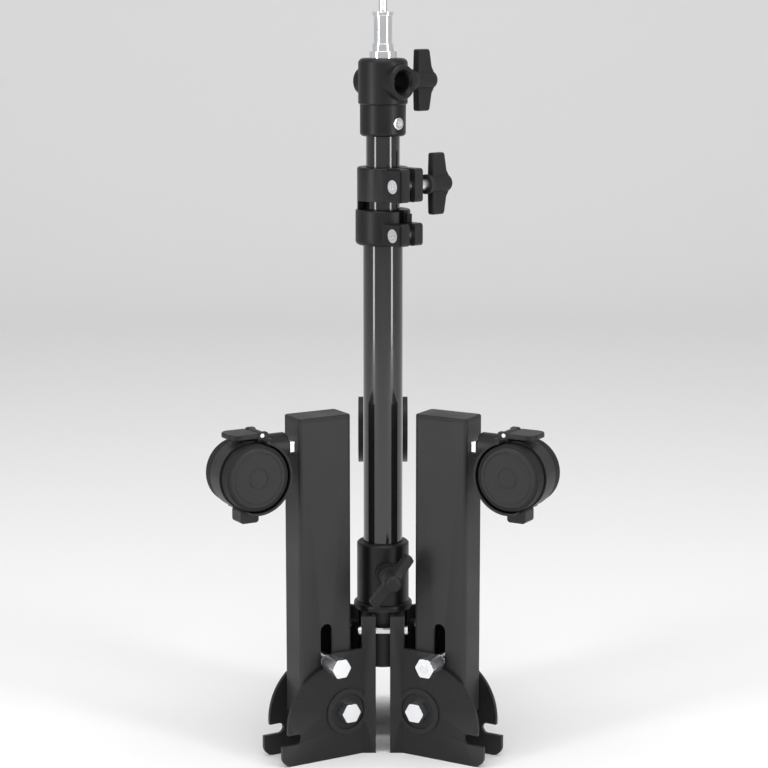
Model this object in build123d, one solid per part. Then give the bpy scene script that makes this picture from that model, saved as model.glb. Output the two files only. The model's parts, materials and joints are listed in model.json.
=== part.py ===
"""Compact rolling light stand with a folding three-leg caster base, folded, in millimetres.

The origin is on the column axis, level with the bottom edges of the leg brackets, and +Z is up.
Each leg is drawn along +X and then turned about Z to its own azimuth.
"""
from build123d import *
import os
from math import cos, hypot, radians, sin

# ---- driving dimensions ----
LEG_AZIMUTHS = (210.0, 330.0, 90.0)      # front left, front right, back
HEAD_AZIMUTH = -46.0                     # the way the receiver bore and the clamp ears point
BASE_KNOB_AZIMUTH = -82.0
FIT = 0.05                               # radial running clearance
GAP = 0.3                                # least gap between faces that move past each other

COLUMN_R = 15.0                          # 30 mm lower tube
COLUMN_WALL = 1.8
COLUMN_BOTTOM, COLUMN_TOP = 67.0, 418.0
RISER_R = 12.7                           # 25.4 mm riser tube
RISER_WALL = 1.6
RISER_BOTTOM, RISER_TOP = 95.0, 498.0

LEG_IN, LEG_OUT = 35.0, 79.0             # radial faces of a folded leg
LEG_HALF, LEG_WALL = 13.0, 2.0
LEG_BOTTOM, LEG_TOP = 27.0, 264.0
PIVOT_U, PIVOT_Z = 41.0, 36.0
BOLT_R = 4.0                             # M8
HEX_AF, HEX_H = 14.0, 5.5

PLATE_IN, PLATE_OUT = 13.8, 16.8         # bracket side plates, across the leg
PLATE_FOLD = 27.1                        # where a side plate bends into its ear
PLATE_TOP = 83.6
LIP_U, LIP_CORNER = 97.2, 8.0
NOTCH_LOW, NOTCH_TOP, NOTCH_END = 16.4, 24.6, 80.3
LOCK_U, LOCK_Z = 57.0, 77.5              # lock bolt in its slot, leg folded
LOCK_TRAVEL = 12.5                       # how far it slides up the leg in a quarter turn
LOCK_R, LOCK_NECK_R = 4.8, 3.0           # in the leg's slot, and where it crosses the plates
CAM_DROP = 3.4                           # from the bolt's centre to the plates' edge
SPACER_R, SPACER_END, LOCK_HEAD_END = 6.6, 31.0, 37.0
SLOT_LOW, SLOT_TOP, SLOT_R = 77.0, 101.5, 5.0
SPRING_Z, SPRING_R, WIRE_R = 50.8, 2.6, 0.5
EAR_FACE, EAR_GAP, EAR_TOP = 28.5, 5.5, 109.0
SHEET = 3.0
TIE_Z, TIE_DIST, TIE_R, TIE_END = 96.0, 21.6, 2.8, 19.0

HUB_R, HUB_BOTTOM = 17.5, 65.5
SOCKET_R, SOCKET_BOTTOM, SOCKET_TOP = 20.0, 110.0, 162.0
BASE_KNOB_Z = 142.0

STEM_Z, STEM_R = 245.5, 5.0              # caster stem in the folded leg
WHEEL_U, WHEEL_Z, WHEEL_R = 116.6, 227.5, 25.0
WHEEL_IN, WHEEL_OUT = 8.0, 20.0
AXLE_R = 3.0
HOOD_R, HOOD_WALL = 28.0, 1.8
LEVER_U, LEVER_Z = 109.0, 257.6          # brake lever's pivot
LEVER_BARREL_R, LEVER_PIN_R = 2.9, 1.5

COLLAR_BOTTOM, COLLAR_SPLIT_LOW, COLLAR_SPLIT_HIGH, COLLAR_TOP = 392.0, 418.7, 425.4, 450.4
COLLAR_R_LOW, COLLAR_R_HIGH = 20.7, 19.4
EAR_REACH, CLAMP_OFFSET, CLAMP_Z = 31.5, 24.5, 437.4
LOWER_CLAMP_Z = 401.0
HEAD_BOTTOM, HEAD_STEP, HEAD_TOP = 473.4, 496.8, 531.0
HEAD_R_LOW, HEAD_R_HIGH = 17.2, 18.5
SPIGOT_TANG_R = 5.0
SCREW_Z = 483.0
BORE_Z, BORE_R = 513.6, 8.15             # 16 mm receiver
KNOB_HALF = 23.2                         # half the length of a T-knob's wings

os.makedirs("parts", exist_ok=True)


# ---- helpers ----
def slab(face, low, high):
    """Extrude a face drawn as (radius, height) so that it spans Y from low to high."""
    return Pos(0, high, 0) * Rot(90, 0, 0) * extrude(face, amount=high - low)


def rod(radius, start, end, axis="Z"):
    """A round rod from start to end along one axis, centred on that axis."""
    turn = {"X": Rot(0, 90, 0), "Y": Rot(-90, 0, 0), "Z": Rot(0, 0, 0)}[axis]
    return turn * Pos(0, 0, (start + end) / 2) * Cylinder(radius, abs(end - start))


def hexagon(across_flats, start, end, axis="Z"):
    """A hexagonal prism from start to end along one axis, with lightly chamfered corners."""
    turn = {"X": Rot(0, 90, 0), "Y": Rot(-90, 0, 0), "Z": Rot(0, 0, 0)}[axis]
    prism = extrude(RegularPolygon(across_flats / 2, 6, major_radius=False), amount=end - start)
    round_off = Pos(0, 0, (end - start) / 2) * Cylinder(across_flats * 0.555, end - start)
    return turn * Pos(0, 0, start) * (prism & round_off)


def block(x, y, z):
    """A box given by its low and high limits on each axis."""
    size = [high - low for low, high in (x, y, z)]
    middle = [(high + low) / 2 for low, high in (x, y, z)]
    return Pos(*middle) * Box(*size)


def along(azimuth, part):
    """Turn a part drawn along +X to an azimuth about the column axis."""
    return Rot(0, 0, azimuth) * part


def save(name, shape):
    """Write one node as a STEP file."""
    pieces = shape.solids()
    whole = pieces[0] if len(pieces) == 1 else Compound(children=list(pieces))
    export_step(whole, f"parts/{name}.step")


# ---- base: brackets, hub and socket ----
def lock_place(angle):
    """Where the lock bolt stands beside the plates when the leg has swung out by an angle."""
    out = LOCK_U - PIVOT_U
    up = LOCK_Z - PIVOT_Z + LOCK_TRAVEL * angle / 90
    turn = radians(angle)
    return PIVOT_U + out * cos(turn) + up * sin(turn), PIVOT_Z + up * cos(turn) - out * sin(turn)


def cam_point(angle):
    """A point of the plates' curved edge, just inside the path of the lock bolt."""
    u, z = lock_place(angle)
    keep = 1 - CAM_DROP / hypot(u - PIVOT_U, z - PIVOT_Z)
    return PIVOT_U + (u - PIVOT_U) * keep, PIVOT_Z + (z - PIVOT_Z) * keep


def plate_face():
    """Outline of a side plate: foot, lip, lock notch, curved edge, stowed seat and shoulder."""
    notch_r = (NOTCH_TOP - NOTCH_LOW) / 2
    notch_u = NOTCH_END + notch_r
    seat_u = LOCK_U - CAM_DROP
    lean = CAM_DROP * 0.7071
    corner = LIP_CORNER * 0.7071
    edge = [cam_point(angle) for angle in (86, 69, 52, 35, 18, 0)]
    outline = [
        Line((PLATE_FOLD, 0), (LIP_U - LIP_CORNER, 0)),
        ThreePointArc((LIP_U - LIP_CORNER, 0), (LIP_U - LIP_CORNER + corner, LIP_CORNER - corner),
                      (LIP_U, LIP_CORNER)),
        Line((LIP_U, LIP_CORNER), (LIP_U, NOTCH_LOW)),
        Line((LIP_U, NOTCH_LOW), (notch_u, NOTCH_LOW)),
        ThreePointArc((notch_u, NOTCH_LOW), (NOTCH_END, NOTCH_LOW + notch_r), (notch_u, NOTCH_TOP)),
        Line((notch_u, NOTCH_TOP), edge[0]),
        Spline(*edge),
        ThreePointArc(edge[-1], (LOCK_U - lean, LOCK_Z - lean), (seat_u, LOCK_Z)),
        Line((seat_u, LOCK_Z), (seat_u, PLATE_TOP)),
        Line((seat_u, PLATE_TOP), (PLATE_FOLD, PLATE_TOP)),
        Line((PLATE_FOLD, PLATE_TOP), (PLATE_FOLD, 0)),
    ]
    return make_face(Wire(outline))


def ear_solid():
    """Folded ear beside a side plate, with its return flange towards the hub."""
    outward = (cos(radians(60)), sin(radians(60)))
    sideways = (outward[1], -outward[0])

    def point(distance, side):
        return (distance * outward[0] + side * sideways[0], distance * outward[1] + side * sideways[1])

    fold_outer = ((EAR_FACE - PLATE_OUT * outward[1]) / outward[0], PLATE_OUT)
    fold_inner = ((EAR_FACE - SHEET - PLATE_IN * outward[1]) / outward[0], PLATE_IN)
    outline = Polyline(
        fold_outer,
        point(EAR_FACE, EAR_GAP),
        point(HUB_R - 0.7, EAR_GAP),
        point(HUB_R - 0.7, EAR_GAP + SHEET),
        point(EAR_FACE - SHEET, EAR_GAP + SHEET),
        fold_inner,
        close=True,
    )
    return extrude(make_face(outline), amount=EAR_TOP)


def side_plates():
    """The two side plates of one leg, each with its pivot boss, folded ear and return flange."""
    boss = Pos(PIVOT_U, 0, PIVOT_Z) * (rod(18.0, PLATE_OUT, PLATE_OUT + 1.2, "Y")
                                       - rod(14.0, PLATE_OUT, PLATE_OUT + 2, "Y"))
    side = slab(plate_face(), PLATE_IN, PLATE_OUT) + boss + ear_solid()
    side -= Pos(PIVOT_U, 0, PIVOT_Z) * rod(BOLT_R, 0, 30, "Y")
    side -= along(60.0, Pos(TIE_DIST, 0, TIE_Z) * rod(TIE_R, -TIE_END, TIE_END, "Y"))
    return [side, mirror(side, about=Plane.XZ)]


def tie_bolt():
    """Bolt and nut that draw two neighbouring brackets' flanges together beside the hub."""
    bolt = rod(TIE_R, -TIE_END, TIE_END - 3.5, "Y") + rod(3.6, TIE_END - 3.5, TIE_END, "Y")
    nut = rod(3.6, -TIE_END + 1, -TIE_END + 4.5, "Y") - rod(TIE_R, -TIE_END, 0, "Y")
    return [Pos(TIE_DIST, 0, TIE_Z) * piece for piece in (bolt, nut)]


def hub_tube():
    """Steel tube that the brackets are welded to and the column stands in."""
    tube = rod(HUB_R, HUB_BOTTOM, SOCKET_BOTTOM)
    return tube - rod(COLUMN_R + FIT, HUB_BOTTOM + 1.5, SOCKET_BOTTOM) - rod(12.0, HUB_BOTTOM, 70)


def base_socket():
    """Cast socket above the hub, with a boss for the column's locking knob."""
    body = rod(SOCKET_R, SOCKET_BOTTOM, SOCKET_TOP)
    body = chamfer(body.edges().group_by(Axis.Z)[-1], 1.2)
    foot = rod(SOCKET_R + 2.5, SOCKET_BOTTOM, SOCKET_BOTTOM + 5)
    foot = fillet(foot.edges().group_by(Axis.Z)[-1], 2.0)
    boss = along(BASE_KNOB_AZIMUTH, Pos(0, 0, BASE_KNOB_Z) * rod(8.5, 10, 27, "X"))
    body = body + foot + boss - rod(COLUMN_R + FIT, SOCKET_BOTTOM, SOCKET_TOP)
    stud = along(BASE_KNOB_AZIMUTH, Pos(0, 0, BASE_KNOB_Z) * rod(BOLT_R + FIT, 10, 30, "X"))
    return body - stud


def pivot_bolts():
    """One hex bolt and one nut through each side plate and leg cheek, on the leg's pivot."""
    bolt = rod(BOLT_R, 6.0, PLATE_OUT, "Y") + hexagon(HEX_AF, PLATE_OUT, PLATE_OUT + HEX_H + 1.2, "Y")
    nut = hexagon(HEX_AF, 6.2, LEG_HALF - LEG_WALL - GAP, "Y") - rod(BOLT_R, 0, 20, "Y")
    return [Pos(PIVOT_U, 0, PIVOT_Z) * piece for piece in (bolt, nut)]


# ---- legs ----
def leg_tube():
    """Rectangular leg tube, forked at its foot, with a slot for the lock bolt in each cheek."""
    outer = block((LEG_IN, LEG_OUT), (-LEG_HALF, LEG_HALF), (LEG_BOTTOM, LEG_TOP))
    outer = fillet(outer.edges().filter_by(Axis.Z), 3.0)
    inner_half = LEG_HALF - LEG_WALL
    tube = outer - block((LEG_IN + LEG_WALL, LEG_OUT - LEG_WALL), (-inner_half, inner_half), (0, 300))
    fork = Polyline((LEG_IN - 1, 0), (LEG_OUT + 1, 0), (LEG_OUT + 1, 35.7), (LEG_IN - 1, 50.3), close=True)
    tube -= slab(make_face(fork), -inner_half, inner_half)
    tube -= Pos(PIVOT_U, 0, PIVOT_Z) * rod(BOLT_R + FIT, -20, 20, "Y")
    slot = block((LOCK_U - SLOT_R, LOCK_U + SLOT_R), (-20, 20), (SLOT_LOW, SLOT_TOP))
    for height in (SLOT_LOW, SLOT_TOP):
        slot += Pos(LOCK_U, 0, height) * rod(SLOT_R, -20, 20, "Y")
    stem_hole = Pos(0, 0, STEM_Z) * rod(STEM_R, LEG_OUT - 6, LEG_OUT + 2, "X")
    return tube - slot - stem_hole


def leg_cap():
    """Flat cap with a plug that closes the leg's top end."""
    top = block((LEG_IN, LEG_OUT), (-LEG_HALF, LEG_HALF), (LEG_TOP, LEG_TOP + 3))
    top = fillet(top.edges().filter_by(Axis.Z), 3.0)
    top = chamfer(top.faces().sort_by(Axis.Z)[-1].edges(), 0.8)
    inner_half = LEG_HALF - LEG_WALL
    plug = block((LEG_IN + LEG_WALL, LEG_OUT - LEG_WALL), (-inner_half, inner_half), (LEG_TOP - 8, LEG_TOP))
    hollow = block((LEG_IN + 5, LEG_OUT - 5), (-inner_half + 3, inner_half - 3), (LEG_TOP - 9, LEG_TOP - 1))
    return top + plug - hollow


def lock_bolt():
    """Lock bolt through the leg's slot, with a spacer on each side, a hex head and a nut."""
    near = PLATE_OUT + 2 * GAP
    shank = rod(LOCK_R, -LEG_HALF - 0.2, LEG_HALF + 0.2, "Y") + rod(LOCK_NECK_R, -LOCK_HEAD_END, SPACER_END, "Y")
    bolt = shank + hexagon(HEX_AF, SPACER_END, LOCK_HEAD_END, "Y")
    spacer = rod(SPACER_R, near, SPACER_END, "Y") - rod(LOCK_NECK_R, 0, 40, "Y")
    nut = hexagon(HEX_AF, -LOCK_HEAD_END + 0.5, -SPACER_END, "Y") - rod(LOCK_NECK_R, -40, 0, "Y")
    pieces = (bolt, spacer, mirror(spacer, about=Plane.XZ), nut)
    return [Pos(LOCK_U, 0, LOCK_Z) * piece for piece in pieces]


def lock_spring():
    """Pull spring from the lock bolt down to its anchor."""
    high = LOCK_Z - LOCK_R - WIRE_R - GAP
    path = Helix(pitch=2.4, height=high - SPRING_Z, radius=SPRING_R, center=(LOCK_U, 0, SPRING_Z))
    section = Plane(origin=path @ 0, z_dir=path % 0) * Circle(WIRE_R)
    return sweep(section, path=path)


def spring_anchor():
    """Cross pin that holds the lower end of the lock spring in the leg."""
    reach = LEG_HALF - LEG_WALL
    return Pos(LOCK_U, 0, SPRING_Z - 2.9) * rod(2.0, -reach, reach, "Y")


# ---- casters ----
def caster_stem():
    """Threaded caster stem in the leg wall, with its nut."""
    stem = rod(STEM_R, LEG_OUT - 8, 103, "X")
    inner_nut = hexagon(15, LEG_OUT - 7, LEG_OUT - LEG_WALL, "X") - rod(STEM_R, 60, 90, "X")
    outer_nut = hexagon(15, LEG_OUT, LEG_OUT + 5, "X") - rod(STEM_R, 60, 90, "X")
    return [Pos(0, 0, STEM_Z) * piece for piece in (stem, inner_nut, outer_nut)]


def at_wheel(part):
    """Place a part drawn about the origin on the wheel axle."""
    return Pos(WHEEL_U, 0, WHEEL_Z) * part


def caster_body():
    """Swivel body of a twin-wheel caster: neck, centre web and the hood over the wheels."""
    neck = Pos(0, 0, STEM_Z) * rod(10.5, 85.0, 108.0, "X")
    neck = fillet(neck.edges().group_by(Axis.X)[0], 1.5)
    centre = at_wheel(rod(WHEEL_R + 1.2, -WHEEL_IN + 0.6, WHEEL_IN - 0.6, "Y"))
    shell = rod(HOOD_R, -WHEEL_OUT, WHEEL_OUT, "Y") - rod(HOOD_R - HOOD_WALL, -30, 30, "Y")
    keep = block((-40, -7.0), (-30, 30), (-40, 40)) + block((-40, 6.0), (-30, 30), (-40, -20))
    hood = at_wheel(shell & keep)
    heel = block((-6, 9), (-7, 7), (-HOOD_R - 8, -WHEEL_R))
    heel = at_wheel(fillet(heel.edges().filter_by(Axis.Y), 2.4))
    lugs = block((104, 112.5), (9.2, 11.2), (250, 260.5)) + block((104, 112.5), (-11.2, -9.2), (250, 260.5))
    lugs = fillet(lugs.edges().filter_by(Axis.Y).group_by(Axis.Z)[-1], 2.5)
    saddle = block((101, 112.5), (-11.2, 11.2), (246, 254.5))
    clearance = at_wheel(rod(WHEEL_R + GAP + 0.4, WHEEL_IN - 0.6, 40, "Y")
                         + rod(WHEEL_R + GAP + 0.4, -40, -WHEEL_IN + 0.6, "Y"))
    body = neck + centre + hood + heel + saddle + lugs - clearance
    body -= Pos(0, 0, STEM_Z) * rod(STEM_R + FIT, 80, 104.0, "X")
    body -= at_wheel(rod(AXLE_R, -30, 30, "Y"))
    body -= Pos(LEVER_U, 0, LEVER_Z) * rod(LEVER_BARREL_R + GAP, -9.2, 9.2, "Y")
    body -= Pos(LEVER_U, 0, LEVER_Z) * rod(LEVER_PIN_R, -20, 20, "Y")
    return body


def brake_lever():
    """Foot lever of the wheel brake, rocking on its pin between the hood's lugs."""
    pad = block((113, 134), (-12.5, 12.5), (256.0, 259.4))
    pad = fillet(pad.edges().filter_by(Axis.Z).group_by(Axis.X)[-1], 8.0)
    pad = fillet(pad.faces().sort_by(Axis.Z)[-1].edges().group_by(Axis.X)[-1], 1.0)
    barrel = Pos(LEVER_U, 0, LEVER_Z) * rod(LEVER_BARREL_R, -8.9, 8.9, "Y")
    neck = block((LEVER_U, 115), (-8.9, 8.9), (256.4, 259.2))
    return pad + barrel + neck - Pos(LEVER_U, 0, LEVER_Z) * rod(LEVER_PIN_R + FIT, -20, 20, "Y")


def wheel(side):
    """Plastic wheel with a dished cover, on the axle at one side of the caster."""
    inner, outer = WHEEL_IN, WHEEL_OUT
    core = rod(22.6, inner + 0.4, outer - 0.4, "Y")
    rim = rod(WHEEL_R - 2.0, inner + 0.4, outer - 1.2, "Y")
    cover = fillet(core.edges().group_by(Axis.Y)[-1], 1.2)
    whole = cover + rim - rod(20.4, inner, outer - 3.0, "Y") + rod(7.0, inner + 0.4, outer - 2, "Y")
    whole -= rod(AXLE_R + FIT, inner - 1, outer - 3.5, "Y")
    whole = at_wheel(whole)
    return whole if side > 0 else mirror(whole, about=Plane.XZ)


def tread(side):
    """Tyre ring round a wheel."""
    ring = rod(WHEEL_R, WHEEL_IN + 0.4, WHEEL_OUT - 1.2, "Y")
    ring = fillet(ring.edges(), 1.2)
    ring = at_wheel(ring - rod(WHEEL_R - 2.0, 0, 30, "Y"))
    return ring if side > 0 else mirror(ring, about=Plane.XZ)


def caster_axle():
    """Steel axle held in the caster's centre web, with the brake lever's pin."""
    return [at_wheel(rod(AXLE_R, -WHEEL_OUT + 4, WHEEL_OUT - 4, "Y")),
            Pos(LEVER_U, 0, LEVER_Z) * rod(LEVER_PIN_R, -11.2, 11.2, "Y")]


# ---- column and riser ----
def collar():
    """Double clamp collar: the lower ring grips the column, the upper one the riser."""
    upper = rod(COLLAR_R_HIGH, COLLAR_SPLIT_HIGH, COLLAR_TOP)
    upper = fillet(upper.edges().group_by(Axis.Z)[-1], 1.5)
    lower = rod(COLLAR_R_LOW, COLLAR_BOTTOM, COLLAR_SPLIT_LOW)
    lower = fillet(lower.edges().group_by(Axis.Z)[0], 3.0)
    lower = fillet(lower.edges().group_by(Axis.Z)[-1], 1.5)
    spine = rod(COLLAR_R_HIGH, COLLAR_SPLIT_LOW - 3, COLLAR_SPLIT_HIGH + 2) & block((-30, -9), (-30, 30), (380, 460))
    ears = block((0, EAR_REACH), (-11, 11), (COLLAR_SPLIT_HIGH, COLLAR_TOP))
    ears += block((0, EAR_REACH), (-11, 11), (COLLAR_BOTTOM + 0.8, 409.6))
    ears += block((12, 22), (4, 9), (405, 416))
    ears = fillet(ears.edges().filter_by(Axis.Y).group_by(Axis.X)[-1], 2.5)
    pads = block((9, EAR_REACH - 1.5), (-14.5, -8), (COLLAR_SPLIT_HIGH + 0.5, COLLAR_TOP - 1.2))
    pads += block((9, EAR_REACH - 1.5), (-14.5, -8), (COLLAR_BOTTOM + 1.3, 409.0))
    body = upper + lower + spine + ears + pads
    body -= rod(RISER_R + FIT, COLLAR_SPLIT_LOW - 1, COLLAR_TOP + 1)
    body -= rod(COLUMN_R, COLLAR_BOTTOM - 1, COLUMN_TOP)
    body -= block((8, 40), (-2.8, 2.8), (380, 460))
    for height in (CLAMP_Z, LOWER_CLAMP_Z):
        body -= Pos(CLAMP_OFFSET, 0, height) * rod(BOLT_R + FIT, -20, 20, "Y")
        body -= Pos(CLAMP_OFFSET, 0, height) * rod(5.4, -16, -11.5, "Y")
    return along(HEAD_AZIMUTH, body)


def collar_screws():
    """Nut insert behind the riser clamp and the socket screw that grips the column."""
    insert = rod(5.2, -14.0, -11.5, "Y") - rod(2.2, -20, -12.6, "Y")
    screw = rod(BOLT_R, -11.5, 9.0, "Y") + rod(5.2, -14.0, -11.5, "Y") - rod(2.2, -20, -12.4, "Y")
    return [along(HEAD_AZIMUTH, Pos(CLAMP_OFFSET, 0, CLAMP_Z) * insert),
            along(HEAD_AZIMUTH, Pos(CLAMP_OFFSET, 0, LOWER_CLAMP_Z) * screw)]


def head():
    """Cast head: riser socket, 16 mm cross receiver and the boss for its clamp knob."""
    lower = rod(HEAD_R_LOW, HEAD_BOTTOM, HEAD_STEP + 1)
    lower = fillet(lower.edges().group_by(Axis.Z)[0], 2.5)
    upper = rod(HEAD_R_HIGH, HEAD_STEP, HEAD_TOP)
    upper = fillet(upper.edges().group_by(Axis.Z)[-1], 4.0)
    upper = chamfer(upper.edges().group_by(Axis.Z)[0], 1.0)
    front = rod(13.2, 0, 22.0, "X")
    front = chamfer(front.edges().group_by(Axis.X)[-1], 1.2)
    back = rod(10.4, -22.4, 0, "X")
    back = chamfer(back.edges().group_by(Axis.X)[0], 1.0)
    knob_boss = rod(9.0, 0, 28.0, "Y")
    cross = Pos(0, 0, BORE_Z) * (front + back + knob_boss)
    body = lower + upper + cross
    bore = rod(BORE_R, -30, 30, "X") + Pos(20.7, 0, 0) * Rot(0, 90, 0) * Cone(BORE_R, BORE_R + 1.6, 2.6)
    body -= Pos(0, 0, BORE_Z) * (bore + rod(BOLT_R + FIT, 0, 40, "Y"))
    body -= rod(RISER_R, HEAD_BOTTOM - 1, RISER_TOP)
    body -= rod(SPIGOT_TANG_R, 523.0, HEAD_TOP + 1)
    body -= Pos(0, 0, SCREW_Z) * rod(5.0, 14.5, 20, "X")
    return along(HEAD_AZIMUTH, body)


def head_screw():
    """Socket screw that pins the head to the riser tube."""
    button = rod(4.8, 14.5, 17.6, "X")
    button = fillet(button.edges().group_by(Axis.X)[-1], 1.2)
    return along(HEAD_AZIMUTH, Pos(0, 0, SCREW_Z) * (button - rod(2.0, 16.2, 20, "X")))


def spigot():
    """Chromed 16 mm spigot with a quarter-inch thread on top."""
    stack = (
        (SPIGOT_TANG_R, 523.0, HEAD_TOP),
        (10.2, HEAD_TOP, 536.0),
        (7.94, 536.0, 541.5),
        (6.9, 541.5, 562.4),
        (7.94, 562.4, 564.8),
        (3.175, 564.8, 575.5),
    )
    body = None
    for radius, low, high in stack:
        step = rod(radius, low, high)
        body = step if body is None else body + step
    body = chamfer(body.edges().filter_by(GeomType.CIRCLE).group_by(Axis.Z)[-1], 0.5)
    return body


def guide_bush():
    """Plastic bush at the riser's foot that slides inside the column."""
    flange = rod(COLUMN_R - COLUMN_WALL - FIT, RISER_BOTTOM - 7, RISER_BOTTOM)
    flange = chamfer(flange.edges().group_by(Axis.Z)[0], 0.5)
    return flange + rod(RISER_R - RISER_WALL, RISER_BOTTOM, RISER_BOTTOM + 14)


def tube(radius, wall, low, high):
    """A round tube between two heights."""
    return rod(radius, low, high) - rod(radius - wall, low - 1, high + 1)


# ---- T-knobs ----
def knob(base):
    """T-knob drawn along +Y with its wings upright: base is where its hub begins."""
    wings = Polyline(
        (base + 3.0, 5.0),
        (base + 3.6, KNOB_HALF - 1),
        (base + 4.6, KNOB_HALF),
        (base + 14.6, KNOB_HALF),
        (base + 15.8, KNOB_HALF - 1.4),
        (base + 18.0, 10.0),
        (base + 21.5, 4.5),
        (base + 21.5, -4.5),
        (base + 18.0, -10.0),
        (base + 15.8, -KNOB_HALF + 1.4),
        (base + 14.6, -KNOB_HALF),
        (base + 4.6, -KNOB_HALF),
        (base + 3.6, -KNOB_HALF + 1),
        (base + 3.0, -5.0),
        close=True,
    )
    plate = extrude(make_face(wings), amount=3.4, both=True)
    plate = fillet(plate.edges().group_by(Axis.Z)[-1], 1.6)
    plate = fillet(plate.edges().group_by(Axis.Z)[0], 1.6)
    plate = Rot(0, 0, 90) * Rot(90, 0, 0) * plate
    hub = rod(6.8, base, base + 22.5, "Y")
    hub = fillet(hub.edges().group_by(Axis.Y)[-1], 4.0)
    collar_ring = rod(7.4, base - 2.0, base + 1.0, "Y")
    return plate + hub + collar_ring - rod(BOLT_R, base - 10, base + 12, "Y")


def knob_stud(tip, base):
    """Steel stud moulded into a knob, from its tip to inside the hub."""
    stud = rod(BOLT_R, tip, base + 12, "Y")
    return chamfer(stud.edges().group_by(Axis.Y)[0], 0.7)


def place_knob(azimuth, offset, height, tilt, part):
    """Move a knob part to its axis: offset along the ears, height up the column."""
    return along(azimuth, Pos(offset, 0, height) * Rot(0, tilt, 0) * part)


# name: azimuth of local +X, offset, height, tilt about the knob's own axis, hub base, stud tip
KNOBS = {
    "head_knob": (HEAD_AZIMUTH, 0.0, BORE_Z, 0.0, 31.0, BORE_R + 0.9),
    "collar_knob": (HEAD_AZIMUTH, CLAMP_OFFSET, CLAMP_Z, 0.0, 22.5, -11.2),
    "base_knob": (BASE_KNOB_AZIMUTH - 90.0, 0.0, BASE_KNOB_Z, -38.0, 36.0, COLUMN_R + GAP),
}


def build():
    """Write every node."""
    for number, azimuth in enumerate(LEG_AZIMUTHS, start=1):
        turned = {
            f"side_plates_{number}": Compound(children=side_plates()),
            f"leg_tube_{number}": leg_tube(),
            f"leg_cap_{number}": leg_cap(),
            f"lock_bolt_{number}": Compound(children=lock_bolt()),
            f"lock_spring_{number}": lock_spring(),
            f"spring_anchor_{number}": spring_anchor(),
            f"caster_stem_{number}": Compound(children=caster_stem()),
            f"caster_body_{number}": caster_body(),
            f"caster_axle_{number}": Compound(children=caster_axle()),
            f"brake_lever_{number}": brake_lever(),
            f"wheel_{number}a": wheel(1),
            f"wheel_{number}b": wheel(-1),
            f"tread_{number}a": tread(1),
            f"tread_{number}b": tread(-1),
        }
        for name, part in turned.items():
            save(name, along(azimuth, part))
    pivots, ties = [], []
    for azimuth in LEG_AZIMUTHS:
        for piece in pivot_bolts():
            pivots += [along(azimuth, piece), along(azimuth, mirror(piece, about=Plane.XZ))]
        ties += [along(azimuth + 60.0, piece) for piece in tie_bolt()]
    save("pivot_bolts", Compound(children=pivots))
    save("tie_bolts", Compound(children=ties))
    save("hub_tube", hub_tube())
    save("base_socket", base_socket())
    save("column_tube", tube(COLUMN_R, COLUMN_WALL, COLUMN_BOTTOM, COLUMN_TOP))
    save("collar", collar())
    save("collar_screws", Compound(children=collar_screws()))
    save("riser_tube", tube(RISER_R, RISER_WALL, RISER_BOTTOM, RISER_TOP))
    save("guide_bush", guide_bush())
    save("head", head())
    save("head_screw", head_screw())
    save("spigot", spigot())
    for name, (azimuth, offset, height, tilt, base, tip) in KNOBS.items():
        save(name, place_knob(azimuth, offset, height, tilt, knob(base)))
        save(f"{name}_stud", place_knob(azimuth, offset, height, tilt, knob_stud(tip, base)))


build()
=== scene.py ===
"""Folded rolling light stand: materials, small visible details, pale floor, soft light and camera."""
import json
import math

import bmesh
import bpy
from mathutils import Matrix, Vector


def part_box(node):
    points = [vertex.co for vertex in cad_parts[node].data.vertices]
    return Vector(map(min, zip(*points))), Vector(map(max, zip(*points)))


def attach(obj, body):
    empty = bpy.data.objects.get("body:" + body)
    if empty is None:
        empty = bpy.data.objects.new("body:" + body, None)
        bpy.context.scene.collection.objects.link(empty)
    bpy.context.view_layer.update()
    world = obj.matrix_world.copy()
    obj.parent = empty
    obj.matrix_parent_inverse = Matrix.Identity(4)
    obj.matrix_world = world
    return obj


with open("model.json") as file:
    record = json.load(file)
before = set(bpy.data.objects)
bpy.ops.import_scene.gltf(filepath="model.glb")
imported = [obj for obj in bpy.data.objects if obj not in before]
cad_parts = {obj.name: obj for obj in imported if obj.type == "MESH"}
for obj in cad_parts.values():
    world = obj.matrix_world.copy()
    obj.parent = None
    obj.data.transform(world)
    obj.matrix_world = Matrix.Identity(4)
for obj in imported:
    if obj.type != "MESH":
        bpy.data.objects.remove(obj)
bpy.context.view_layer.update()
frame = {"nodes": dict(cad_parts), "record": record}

NODES = frame["nodes"]
LEGS = {1: 210.0, 2: 330.0, 3: 90.0}      # leg number: azimuth in degrees
MM = 0.001
WHEEL_REACH = 116.6 * MM                  # wheel axle's distance from the column, leg folded
WHEEL_HEIGHT = 227.5 * MM
COVER_FACE = 19.55 * MM                   # wheel cover's face, from the middle of the caster
COVER_RINGS = (19.2, 7.5)                 # radii in mm of the rings moulded on a wheel cover
RING_THICKNESS = 0.42 * MM
THREAD_R = 3.175 * MM
THREAD_PITCH = 1.27 * MM
THREAD_DEPTH = 0.22 * MM
THREAD_SINK = 0.1 * MM                    # how far the ridge's foot is sunk into the stud
THREAD_LOW, THREAD_HIGH = 10.0 * MM, 1.6 * MM    # its ends, down from the top of the spigot
CLOUD_SCALE = 28.0                        # size of the soft mottling, per metre
MOTTLE = 1.35                             # how much paler the mottling gets


# ---- materials ----
def grain(tree, scale, detail, name):
    """Noise in the object's own coordinates, which ride with the piece."""
    place = tree.nodes.new("ShaderNodeTexCoord")
    noise = tree.nodes.new("ShaderNodeTexNoise")
    noise.name = name
    noise.inputs["Scale"].default_value = scale
    noise.inputs["Detail"].default_value = detail
    tree.links.new(place.outputs["Object"], noise.inputs["Vector"])
    return noise


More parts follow.
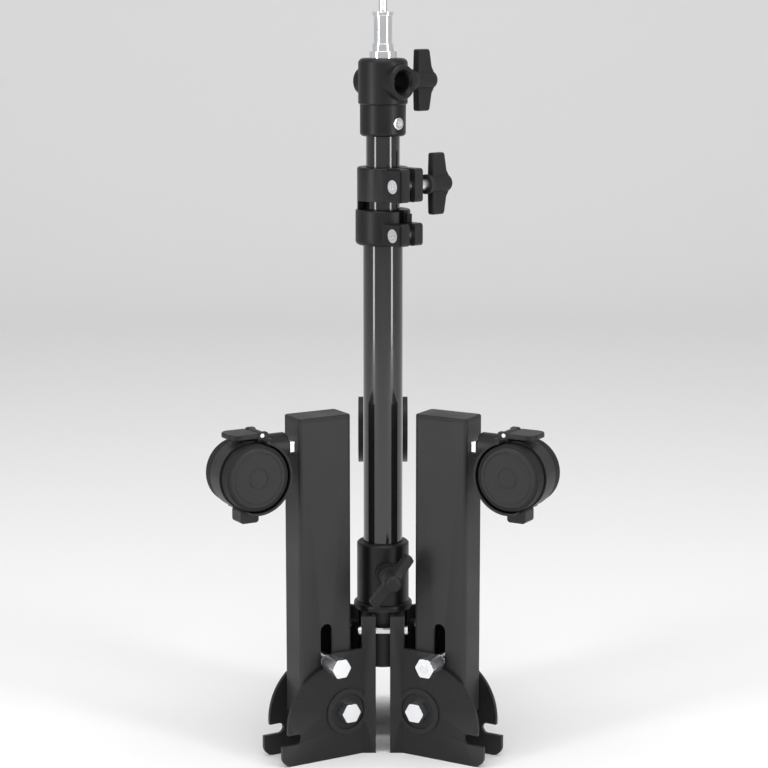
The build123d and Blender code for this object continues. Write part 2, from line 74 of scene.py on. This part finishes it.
def spread(tree, source, low, high):
    """Map a noise value to the range from low to high."""
    ramp = tree.nodes.new("ShaderNodeMapRange")
    ramp.inputs["From Min"].default_value = 0.3
    ramp.inputs["From Max"].default_value = 0.7
    ramp.inputs["To Min"].default_value = low
    ramp.inputs["To Max"].default_value = high
    tree.links.new(source, ramp.inputs["Value"])
    return ramp.outputs["Result"]


def finish(name, color, worn, rough, metallic=0.0, grain_scale=900.0, bump=0.15, depth=0.00006,
           coat=0.0, edge=0.0004, wear=0.5):
    """A finish with mottled colour and roughness, fine surface grain and softened, paler edges."""
    material = bpy.data.materials.new(name)
    material.use_nodes = True
    tree = material.node_tree
    shader = tree.nodes["Principled BSDF"]
    shader.inputs["Metallic"].default_value = metallic
    shader.inputs["Specular IOR Level"].default_value = 0.5 if metallic or coat else 0.28
    shader.inputs["Coat Weight"].default_value = coat
    shader.inputs["Coat Roughness"].default_value = 0.06
    cloud = grain(tree, CLOUD_SCALE, 4.0, "cloud")
    fine = grain(tree, grain_scale, 3.0, "fine")
    tree.links.new(spread(tree, cloud.outputs["Fac"], rough[0], rough[1]), shader.inputs["Roughness"])

    shape = tree.nodes.new("ShaderNodeNewGeometry")
    rim = tree.nodes.new("ShaderNodeMapRange")
    rim.inputs["From Min"].default_value = 0.53
    rim.inputs["From Max"].default_value = 0.62
    rim.inputs["To Max"].default_value = wear
    tree.links.new(shape.outputs["Pointiness"], rim.inputs["Value"])
    mottle = tree.nodes.new("ShaderNodeMix")
    mottle.data_type = "RGBA"
    mottle.inputs["A"].default_value = (*color, 1)
    mottle.inputs["B"].default_value = (*[channel * MOTTLE for channel in color], 1)
    tree.links.new(cloud.outputs["Fac"], mottle.inputs["Factor"])
    edges = tree.nodes.new("ShaderNodeMix")
    edges.data_type = "RGBA"
    edges.inputs["B"].default_value = (*worn, 1)
    tree.links.new(rim.outputs["Result"], edges.inputs["Factor"])
    tree.links.new(mottle.outputs["Result"], edges.inputs["A"])
    tree.links.new(edges.outputs["Result"], shader.inputs["Base Color"])

    soften = tree.nodes.new("ShaderNodeBevel")
    soften.samples = 4
    soften.inputs["Radius"].default_value = edge
    texture = tree.nodes.new("ShaderNodeBump")
    texture.inputs["Strength"].default_value = bump
    texture.inputs["Distance"].default_value = depth
    tree.links.new(soften.outputs["Normal"], texture.inputs["Normal"])
    tree.links.new(fine.outputs["Fac"], texture.inputs["Height"])
    tree.links.new(texture.outputs["Normal"], shader.inputs["Normal"])
    return material


FINISHES = {
    "frame_paint": finish("powder_coat", (0.007, 0.007, 0.0075), (0.04, 0.04, 0.042), (0.40, 0.52),
                          grain_scale=1400.0, bump=0.35, depth=0.00008, edge=0.0006),
    "tube_gloss": finish("gloss_black", (0.004, 0.004, 0.0045), (0.02, 0.02, 0.021), (0.07, 0.13),
                         grain_scale=300.0, bump=0.03, depth=0.00003, coat=0.5),
    "casting": finish("cast_black", (0.005, 0.005, 0.0055), (0.03, 0.03, 0.032), (0.34, 0.48),
                      grain_scale=700.0, bump=0.4, depth=0.0001, edge=0.0007),
    "knob_plastic": finish("knob_plastic", (0.008, 0.008, 0.0085), (0.05, 0.05, 0.052), (0.46, 0.58),
                           grain_scale=1800.0, bump=0.3, depth=0.00005, edge=0.0009, wear=0.35),
    "caster_plastic": finish("caster_plastic", (0.006, 0.006, 0.0065), (0.04, 0.04, 0.042), (0.36, 0.48),
                             grain_scale=1500.0, bump=0.25, depth=0.00005, edge=0.0007, wear=0.35),
    "wheel_plastic": finish("wheel_plastic", (0.014, 0.014, 0.015), (0.06, 0.06, 0.063), (0.40, 0.50),
                            grain_scale=1500.0, bump=0.25, depth=0.00005, edge=0.0007, wear=0.35),
    "tread_rubber": finish("tread_rubber", (0.008, 0.008, 0.008), (0.02, 0.02, 0.02), (0.62, 0.75),
                           grain_scale=1200.0, bump=0.4, depth=0.0001, wear=0.3),
    "zinc_steel": finish("zinc_steel", (0.62, 0.63, 0.65), (0.85, 0.85, 0.86), (0.24, 0.36), metallic=1.0,
                         grain_scale=800.0, bump=0.3, depth=0.00006),
    "chrome": finish("chrome", (0.72, 0.73, 0.75), (0.9, 0.9, 0.9), (0.06, 0.13), metallic=1.0,
                     grain_scale=500.0, bump=0.05, depth=0.00002),
}


def paint_frame():
    """Give every CAD node the finish of its material slot."""
    for part in frame["record"]["subparts"]:
        node = NODES[part["node"]]
        node.data.materials.clear()
        node.data.materials.append(FINISHES[part["material_slot"]])


# ---- details ----
def new_piece(name, mesh, body, slot):
    """Add a mesh as a named piece that rides on a body and takes a slot's finish."""
    data = bpy.data.meshes.new(name)
    mesh.to_mesh(data)
    mesh.free()
    data.materials.append(FINISHES[slot])
    data.polygons.foreach_set("use_smooth", [True] * len(data.polygons))
    piece = bpy.data.objects.new(name, data)
    bpy.context.scene.collection.objects.link(piece)
    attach(piece, body)
    return piece


def turned_ring(profile, place, steps=96):
    """A closed ring: a closed profile of (radius, height) turned about Z, then moved by a matrix."""
    mesh = bmesh.new()
    rings = []
    for step in range(steps):
        angle = 2 * math.pi * step / steps
        rings.append([mesh.verts.new(place @ Vector((r * math.cos(angle), r * math.sin(angle), h)))
                      for r, h in profile])
    count = len(profile)
    for step in range(steps):
        this, following = rings[step], rings[(step + 1) % steps]
        for index in range(count):
            after = (index + 1) % count
            mesh.faces.new((this[index], following[index], following[after], this[after]))
    bmesh.ops.recalc_face_normals(mesh, faces=mesh.faces)
    return mesh


def round_section(radius, height, thickness, points=12):
    """A small round profile for a turned ring."""
    return [(radius + thickness * math.cos(2 * math.pi * k / points),
             height + thickness * math.sin(2 * math.pi * k / points)) for k in range(points)]


def thread(name, low, high, radius, pitch, body, slot):
    """Screw-thread ridge: one triangular section swept up a helix."""
    mesh = bmesh.new()
    steps = 40
    total = int(steps * (high - low) / pitch)
    last = None
    for step in range(total + 1):
        angle = 2 * math.pi * step / steps
        height = low + pitch * step / steps
        fade = min(1.0, step / steps, (total - step) / steps)
        crest = radius + THREAD_DEPTH * fade
        section = [(radius - THREAD_SINK, height - 0.42 * pitch), (crest, height),
                   (radius - THREAD_SINK, height + 0.42 * pitch)]
        row = [mesh.verts.new((r * math.cos(angle), r * math.sin(angle), z)) for r, z in section]
        if last:
            for index in range(3):
                after = (index + 1) % 3
                mesh.faces.new((last[index], row[index], row[after], last[after]))
        else:
            mesh.faces.new(row)
        last = row
    mesh.faces.new(list(reversed(last)))
    bmesh.ops.recalc_face_normals(mesh, faces=mesh.faces)
    return new_piece(name, mesh, body, slot)


def add_details():
    """Spigot thread, and two raised rings on each wheel cover."""
    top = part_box("spigot")[1][2]
    thread("spigot_thread", top - THREAD_LOW, top - THREAD_HIGH, THREAD_R, THREAD_PITCH, "riser", "chrome")
    for number, azimuth in LEGS.items():
        turn = Matrix.Rotation(math.radians(azimuth), 4, "Z")
        for letter, side in (("a", 1), ("b", -1)):
            centre = Vector((WHEEL_REACH, side * COVER_FACE, WHEEL_HEIGHT))
            tilt = Matrix.Rotation(math.radians(-90 * side), 4, "X")
            place = turn @ Matrix.Translation(centre) @ tilt
            for radius in COVER_RINGS:
                mesh = turned_ring(round_section(radius * MM, 0.0, RING_THICKNESS), place)
                new_piece(f"cover_ring_{number}{letter}_{int(radius)}", mesh, f"roller_{number}{letter}",
                          "wheel_plastic")


# ---- stage ----
def plain(name, color, rough):
    """A plain matt finish for the stage."""
    material = bpy.data.materials.new(name)
    material.use_nodes = True
    shader = material.node_tree.nodes["Principled BSDF"]
    shader.inputs["Base Color"].default_value = (*color, 1)
    shader.inputs["Roughness"].default_value = rough
    return material


def add_floor():
    """A pale floor that curves up into a backdrop."""
    depth, radius, height, width = 2.2, 1.0, 4.0, 8.0
    rows = [(-6.0, 0.0), (depth, 0.0)]
    rows += [(depth + radius * math.sin(math.pi * k / 32), radius - radius * math.cos(math.pi * k / 32))
             for k in range(1, 17)]
    rows.append((depth + radius, height))
    mesh = bmesh.new()
    lines = [[mesh.verts.new((side * width, y, z)) for side in (-1, 1)] for y, z in rows]
    for first, second in zip(lines, lines[1:]):
        mesh.faces.new((first[0], first[1], second[1], second[0]))
    data = bpy.data.meshes.new("floor")
    mesh.to_mesh(data)
    mesh.free()
    data.polygons.foreach_set("use_smooth", [True] * len(data.polygons))
    data.materials.append(plain("pale_floor", (0.86, 0.86, 0.86), 0.9))
    floor = bpy.data.objects.new("floor", data)
    bpy.context.scene.collection.objects.link(floor)


def add_light(name, place, target, size, power):
    """A soft rectangular light that faces a target."""
    data = bpy.data.lights.new(name, "AREA")
    data.shape = "RECTANGLE"
    data.size, data.size_y = size
    data.energy = power
    light = bpy.data.objects.new(name, data)
    light.location = place
    light.rotation_euler = (Vector(target) - Vector(place)).to_track_quat("-Z", "Y").to_euler()
    bpy.context.scene.collection.objects.link(light)


def add_stage():
    """Pale floor, white surroundings, soft key lights at both sides and one overhead."""
    add_floor()
    world = bpy.data.worlds.new("studio")
    world.use_nodes = True
    world.node_tree.nodes["Background"].inputs["Color"].default_value = (1, 1, 1, 1)
    world.node_tree.nodes["Background"].inputs["Strength"].default_value = 0.55
    bpy.context.scene.world = world
    middle = (0, 0, 0.3)
    add_light("left_strip", (-1.5, -1.1, 0.75), middle, (0.35, 1.8), 17)
    add_light("right_strip", (1.5, -1.1, 0.75), middle, (0.35, 1.8), 17)
    add_light("overhead", (0, -0.5, 2.2), middle, (2.0, 1.6), 24)
    add_light("front_fill", (0.2, -2.6, 1.4), middle, (1.6, 1.2), 5)


def add_camera():
    """Camera a little above the stand, looking slightly down at its front."""
    data = bpy.data.cameras.new("camera")
    data.lens = 103.1
    data.sensor_width = 36.0
    data.shift_x = 0.0014
    data.clip_end = 50.0
    camera = bpy.data.objects.new("camera", data)
    camera.location = (0, -1.652, 0.582)
    camera.rotation_euler = (math.radians(79.8), 0, 0)
    bpy.context.scene.collection.objects.link(camera)
    bpy.context.scene.camera = camera


add_camera()
paint_frame()
add_details()
add_stage()
bpy.context.scene.view_settings.view_transform = "Standard"
